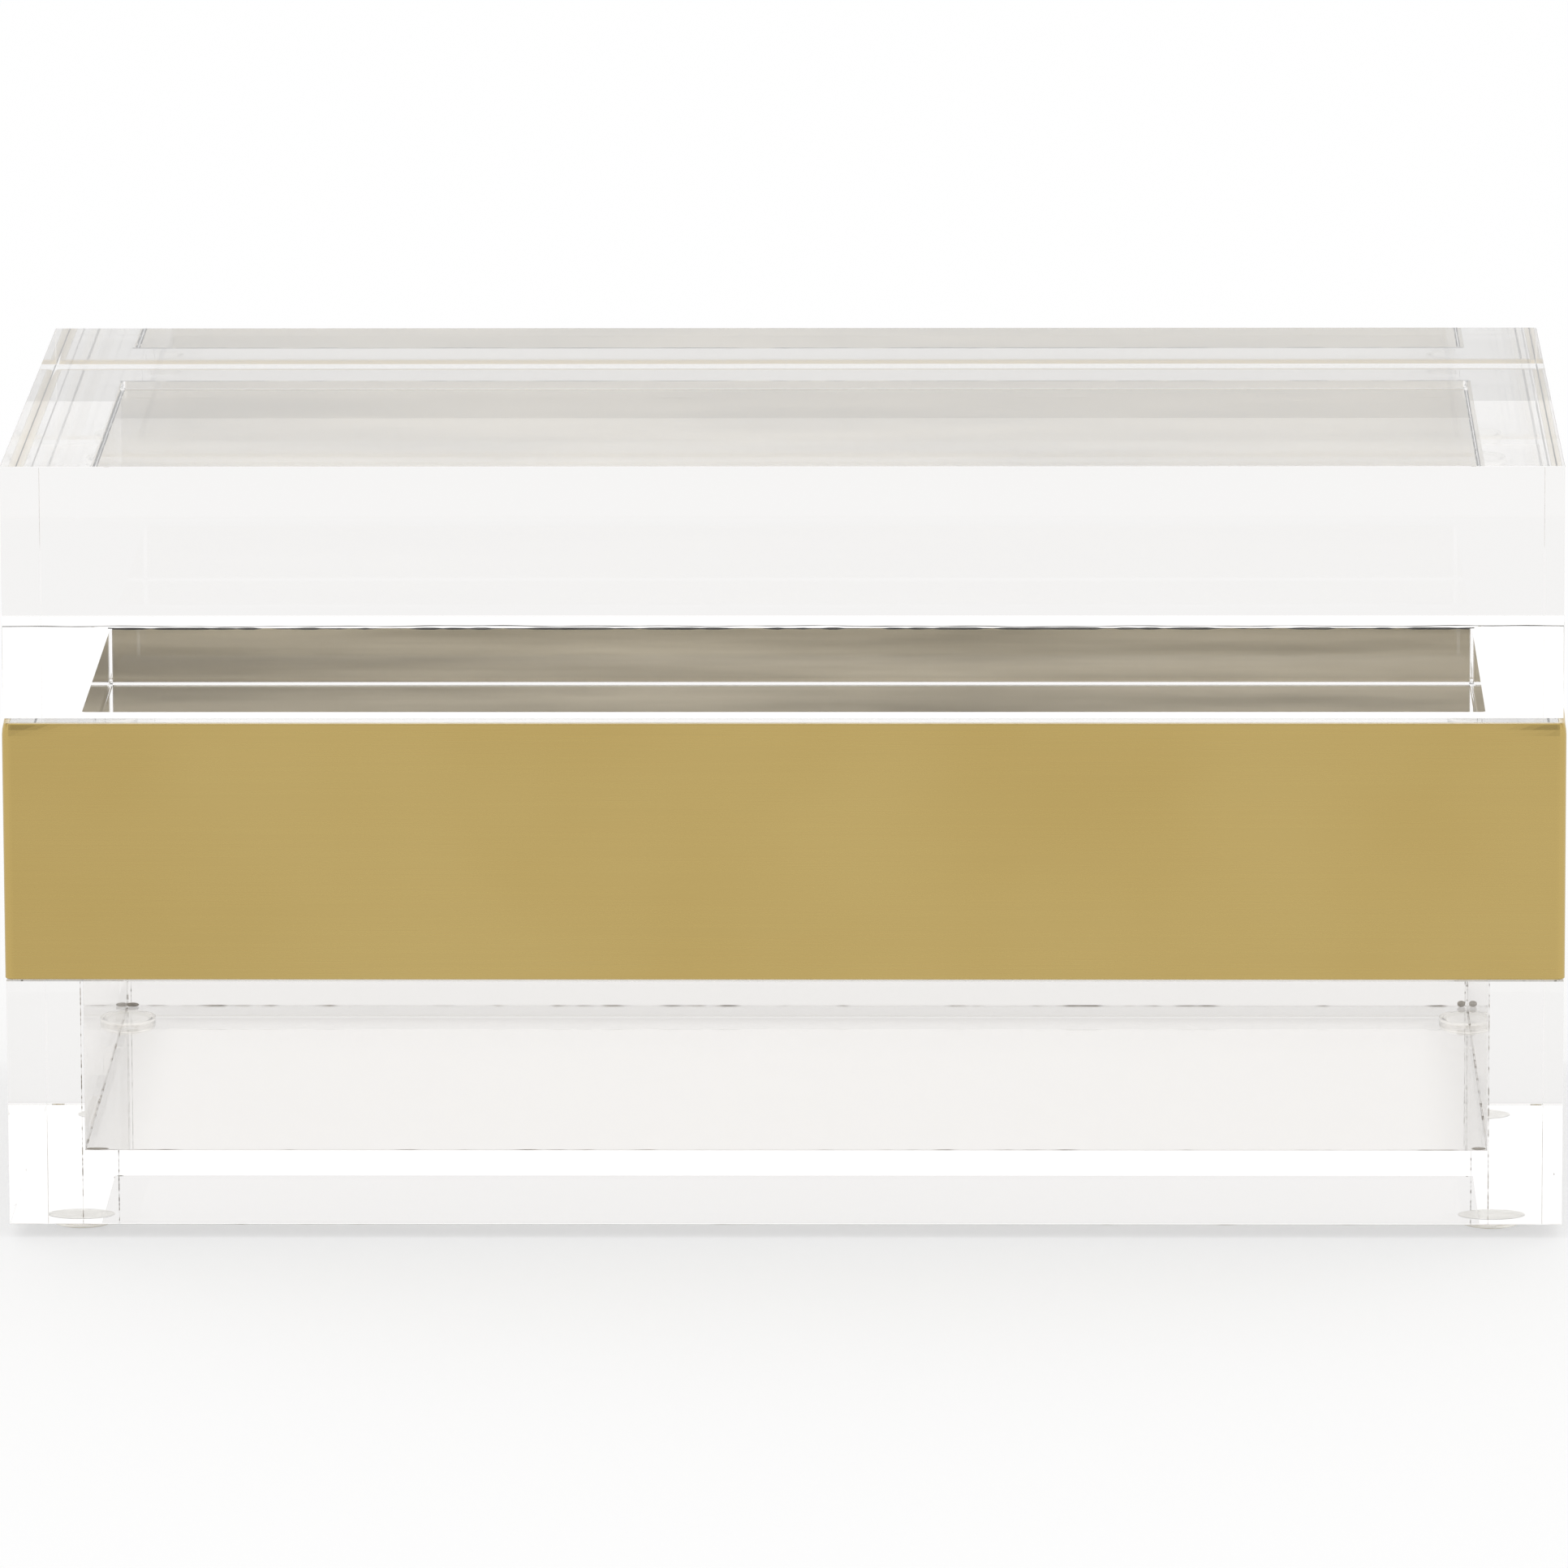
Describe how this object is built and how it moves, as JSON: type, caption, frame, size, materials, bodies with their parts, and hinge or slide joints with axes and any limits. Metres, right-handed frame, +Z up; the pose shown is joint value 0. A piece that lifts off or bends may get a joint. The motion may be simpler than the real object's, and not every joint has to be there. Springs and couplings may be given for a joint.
{
  "type": "keepsake box",
  "caption": "Clear acrylic keepsake box with a thick lift-off lid, clear bumper feet and a brushed brass band round the rim.",
  "frame": {"origin": "on the table under the middle of the box, where its feet stand", "axes": "+X along the length, to the right seen from the front; -Y is the front; +Z is up, the way the lid lifts off"},
  "size_m": [0.2544, 0.1394, 0.1275],
  "materials": {
    "clear_acrylic": "polished clear cast acrylic",
    "brushed_brass": "satin brushed along the length",
    "clear_silicone": "clear soft bumper"
  },
  "bodies": {
    "tray": {"wall_front": "clear_acrylic", "wall_back": "clear_acrylic", "wall_left": "clear_acrylic", "wall_right": "clear_acrylic", "floor_panel": "clear_acrylic", "brass_band": "brushed_brass", "foot_front_left": "clear_silicone", "foot_front_right": "clear_silicone", "foot_back_left": "clear_silicone", "foot_back_right": "clear_silicone"},
    "lid": {"lid_top_slab": "clear_acrylic", "lid_lower_slab": "clear_acrylic", "lid_locating_plug": "clear_acrylic"}
  },
  "joints": [
    {"name": "lid_lift", "type": "slide", "parent": "tray", "child": "lid", "axis": [0, 0, 1], "range_m": [0, 0.15]}
  ]
}
